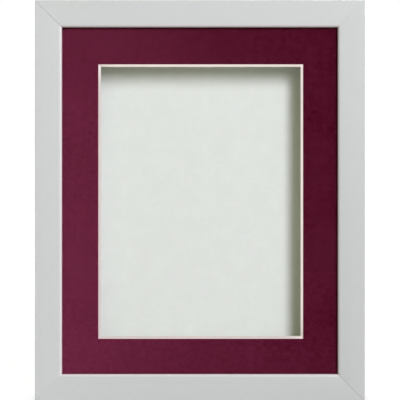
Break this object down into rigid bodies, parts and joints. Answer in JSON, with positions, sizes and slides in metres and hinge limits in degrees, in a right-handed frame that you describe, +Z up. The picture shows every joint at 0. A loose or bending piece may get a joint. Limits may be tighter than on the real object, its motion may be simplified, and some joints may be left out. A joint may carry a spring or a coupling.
{
  "type": "shadow box",
  "caption": "Portrait deep box frame of mitred white moulding with glass, burgundy window mat, white display cavity, back board held by turn buttons, and swinging ring hangers.",
  "frame": {"origin": "middle of the bottom rail's underside, half way between the face and the wall side, where the frame stands", "axes": "+X towards the viewer's right seen from the front, +Y from the front face towards the wall, +Z up"},
  "size_m": [0.2356, 0.0375, 0.2864],
  "materials": {
    "white_lacquer": "smooth satin white lacquer",
    "zinc_steel": "bright zinc plated",
    "float_glass": "clear polished",
    "burgundy_paper": "matte, softly mottled",
    "white_core": "matte cut core",
    "lining_paper": "matte",
    "spacer_board": "matte white",
    "display_card": "matte white",
    "hardboard": "raw pressed fibre board",
    "grey_rubber": "matte"
  },
  "bodies": {
    "case": {"rail_top": "white_lacquer", "rail_bottom": "white_lacquer", "stile_left": "white_lacquer", "stile_right": "white_lacquer", "corner_v_nails": "zinc_steel", "glass": "float_glass", "mat_facing": "burgundy_paper", "mat_core": "white_core", "mat_lining": "lining_paper", "spacer_top": "spacer_board", "spacer_bottom": "spacer_board", "spacer_left": "spacer_board", "spacer_right": "spacer_board", "display_sheet": "display_card", "back_board": "hardboard", "turn_button_screws": "zinc_steel", "hanger_strap_left": "zinc_steel", "hanger_strap_right": "zinc_steel", "hanger_screws": "zinc_steel", "wall_bumpers": "grey_rubber"},
    "button_top": {"turn_button_top": "zinc_steel"},
    "button_bottom": {"turn_button_bottom": "zinc_steel"},
    "button_left_upper": {"turn_button_left_upper": "zinc_steel"},
    "button_left_lower": {"turn_button_left_lower": "zinc_steel"},
    "button_right_upper": {"turn_button_right_upper": "zinc_steel"},
    "button_right_lower": {"turn_button_right_lower": "zinc_steel"},
    "ring_left": {"hanger_ring_left": "zinc_steel"},
    "ring_right": {"hanger_ring_right": "zinc_steel"}
  },
  "joints": [
    {"name": "button_top_turn", "type": "hinge", "parent": "case", "child": "button_top", "pos_m": [0, 0.0171, 0.2786], "axis": [0, 1, 0], "continuous": true},
    {"name": "button_bottom_turn", "type": "hinge", "parent": "case", "child": "button_bottom", "pos_m": [0, 0.0171, 0.0078], "axis": [0, 1, 0], "continuous": true},
    {"name": "button_left_upper_turn", "type": "hinge", "parent": "case", "child": "button_left_upper", "pos_m": [-0.11, 0.0171, 0.2282], "axis": [0, 1, 0], "continuous": true},
    {"name": "button_left_lower_turn", "type": "hinge", "parent": "case", "child": "button_left_lower", "pos_m": [-0.11, 0.0171, 0.0582], "axis": [0, 1, 0], "continuous": true},
    {"name": "button_right_upper_turn", "type": "hinge", "parent": "case", "child": "button_right_upper", "pos_m": [0.11, 0.0171, 0.2282], "axis": [0, 1, 0], "continuous": true},
    {"name": "button_right_lower_turn", "type": "hinge", "parent": "case", "child": "button_right_lower", "pos_m": [0.11, 0.0171, 0.0582], "axis": [0, 1, 0], "continuous": true},
    {"name": "ring_left_swing", "type": "hinge", "parent": "case", "child": "ring_left", "pos_m": [-0.11, 0.0186, 0.1842], "axis": [1, 0, 0], "range_deg": [-2.5, 182.5]},
    {"name": "ring_right_swing", "type": "hinge", "parent": "case", "child": "ring_right", "pos_m": [0.11, 0.0186, 0.1842], "axis": [1, 0, 0], "range_deg": [-2.5, 182.5]}
  ]
}
